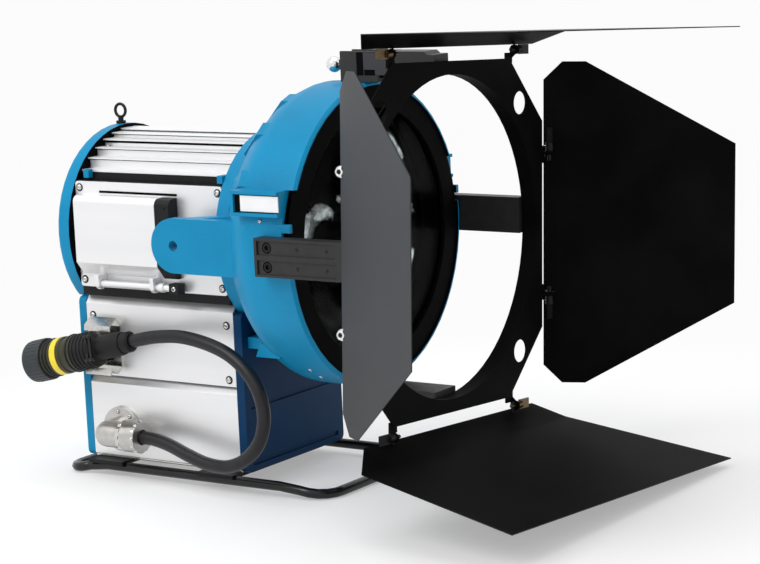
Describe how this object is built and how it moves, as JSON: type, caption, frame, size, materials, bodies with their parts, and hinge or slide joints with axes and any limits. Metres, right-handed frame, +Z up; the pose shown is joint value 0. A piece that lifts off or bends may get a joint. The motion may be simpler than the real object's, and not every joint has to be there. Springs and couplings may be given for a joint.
{
  "type": "discharge par light head",
  "caption": "Large discharge PAR lighting head with a turning four-leaf barn door, ballast-cable connector parked on its side and a floor skid.",
  "frame": {"origin": "under the middle of the skid's front cross tube, on its flat underside, where the lamp stands", "axes": "+Z up; the beam leaves along -Y; +X to the right seen from behind the front of the lamp looking along +Y"},
  "size_m": [0.7293, 0.8135, 0.5843],
  "materials": {
    "blue_enamel": "cyan-blue stove enamel, satin, on cast and sheet aluminium",
    "satin_aluminium": "satin anodised aluminium",
    "black_coat": "matt black heat-resistant coat",
    "bright_steel": "bright steel",
    "nickel": "nickel-plated brass",
    "mirror_aluminium": "polished reflector",
    "clear_glass": "clear glass",
    "ceramic": "glazed ceramic",
    "potting_resin": "black potting resin",
    "black_rubber": "black rubber",
    "olive_anodised": "dark olive hard anodising",
    "yellow_band": "yellow plastic"
  },
  "bodies": {
    "lamp_head": {"front_housing": "blue_enamel", "rear_end_plate": "blue_enamel", "box_front_plate": "blue_enamel", "box_rear_plate": "blue_enamel", "blank_plate": "satin_aluminium", "fin_extrusion": "satin_aluminium", "side_panel_left": "satin_aluminium", "side_panel_right": "satin_aluminium", "side_cover": "satin_aluminium", "box_panel_upper_left": "satin_aluminium", "box_panel_upper_right": "satin_aluminium", "box_panel_lower_left": "satin_aluminium", "box_panel_lower_right": "satin_aluminium", "side_cover_cap": "black_coat", "inner_chassis": "black_coat", "eye_bolt": "black_coat", "bracket_left": "black_coat", "bracket_right": "black_coat", "bracket_bottom": "black_coat", "latch_base": "black_coat", "skid": "black_coat", "skid_clamp_front": "black_coat", "skid_clamp_rear": "black_coat", "glass_retainer": "black_coat", "latch_pin": "bright_steel", "carriage_guide": "bright_steel", "parking_clip": "bright_steel", "box_floor": "bright_steel", "gland_flange": "nickel", "gland_elbow": "nickel", "gland_nut": "nickel", "front_glass": "clear_glass", "ignitor": "potting_resin", "reflector": "mirror_aluminium", "head_cable": "black_rubber", "connector_seal_nut": "black_rubber", "connector_backshell": "black_rubber", "connector_shell": "olive_anodised", "connector_band": "yellow_band"},
    "barn_door": {"barn_door_frame": "black_coat", "wing_screw_top_a": "bright_steel", "wing_screw_top_b": "bright_steel", "wing_screw_bottom_a": "bright_steel", "wing_screw_bottom_b": "bright_steel", "wing_screw_left_a": "bright_steel", "wing_screw_left_b": "bright_steel", "wing_screw_right_a": "bright_steel", "wing_screw_right_b": "bright_steel"},
    "top_leaf": {"leaf_top": "black_coat"},
    "bottom_leaf": {"leaf_bottom": "black_coat"},
    "left_leaf": {"leaf_left": "black_coat"},
    "right_leaf": {"leaf_right": "black_coat"},
    "latch": {"latch_lever": "black_coat", "latch_knob": "bright_steel"},
    "coupling": {"coupling_ring": "black_rubber"},
    "focus": {"focus_rod": "satin_aluminium"},
    "lamp_slide": {"lamp_carriage": "black_coat", "lamp_base": "ceramic", "lamp_bulb": "clear_glass"}
  },
  "joints": [
    {"name": "barn_door_turn", "type": "hinge", "parent": "lamp_head", "child": "barn_door", "pos_m": [0, -0.13, 0.3164], "axis": [0, 1, 0], "continuous": true},
    {"name": "top_leaf_hinge", "type": "hinge", "parent": "barn_door", "child": "top_leaf", "pos_m": [0.01446, -0.134, 0.53993], "axis": [-0.9979, 0, 0.0645], "range_deg": [-70, 29]},
    {"name": "bottom_leaf_hinge", "type": "hinge", "parent": "barn_door", "child": "bottom_leaf", "pos_m": [-0.01446, -0.134, 0.09287], "axis": [0.9979, 0, -0.0645], "range_deg": [-76, 20]},
    {"name": "left_leaf_hinge", "type": "hinge", "parent": "barn_door", "child": "left_leaf", "pos_m": [-0.22353, -0.134, 0.33086], "axis": [-0.0645, 0, -0.9979], "range_deg": [-124, 7]},
    {"name": "right_leaf_hinge", "type": "hinge", "parent": "barn_door", "child": "right_leaf", "pos_m": [0.22353, -0.134, 0.30195], "axis": [0.0645, 0, 0.9979], "range_deg": [-105, 17]},
    {"name": "latch_press", "type": "hinge", "parent": "lamp_head", "child": "latch", "pos_m": [0, -0.03, 0.5294], "axis": [-1, 0, 0], "range_deg": [0, 6], "stiffness_Nm_per_rad": 4, "springref_deg": -8.59},
    {"name": "coupling_turn", "type": "hinge", "parent": "lamp_head", "child": "coupling", "pos_m": [-0.1445, 0.4286, 0.1489], "axis": [-0.0269, 0.9735, -0.2269], "continuous": true},
    {"name": "focus_turn", "type": "hinge", "parent": "lamp_head", "child": "focus", "pos_m": [-0.12159, 0.211, 0.2544], "axis": [0, 1, 0], "range_deg": [-180, 180]},
    {"name": "lamp_focus", "type": "slide", "parent": "lamp_head", "child": "lamp_slide", "axis": [0, 1, 0], "range_m": [-0.01099, 0.01099]}
  ],
  "couplings": [
    {"joint": "focus_turn", "follows": "lamp_focus", "rad_per_m": 285.7}
  ]
}
